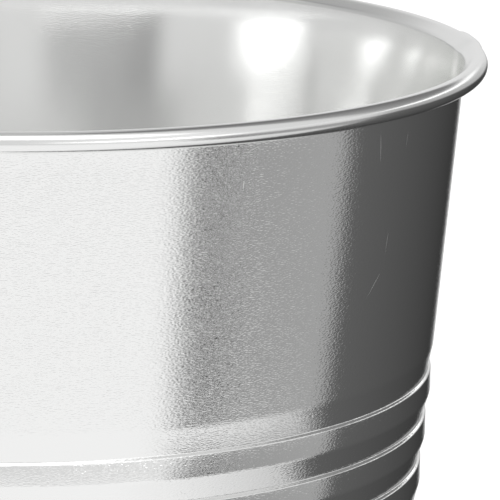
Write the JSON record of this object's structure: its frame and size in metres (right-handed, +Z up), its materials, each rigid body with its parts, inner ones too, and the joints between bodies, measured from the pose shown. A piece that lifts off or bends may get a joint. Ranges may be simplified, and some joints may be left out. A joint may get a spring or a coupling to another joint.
{
  "type": "florist bucket",
  "caption": "Round tapered bucket of bright galvanised sheet with a rolled wired rim, stepped beads round the wall, a lapped side seam and a base recessed in a hemmed foot.",
  "frame": {"origin": "centre of the base, on the floor that the foot rests on", "axes": "+Z up along the bucket's axis, -Y the front, the side seam just round from +X"},
  "size_m": [0.2802, 0.28, 0.2656],
  "materials": {
    "galvanised_sheet": "bright galvanised steel, fine horizontal rolling grain, light mottling and a few fine scratches",
    "rim_wire_steel": "drawn steel wire",
    "galvanised_base": "bright galvanised steel, pressed",
    "seam_solder": "thin dull solder film",
    "seam_sealant": "matt grey sealing compound"
  },
  "bodies": {
    "root": {"body_sheet": "galvanised_sheet", "rim_wire": "rim_wire_steel", "base_pan": "galvanised_base", "side_seam_solder": "seam_solder", "base_seam_sealant": "seam_sealant"}
  },
  "joints": []
}
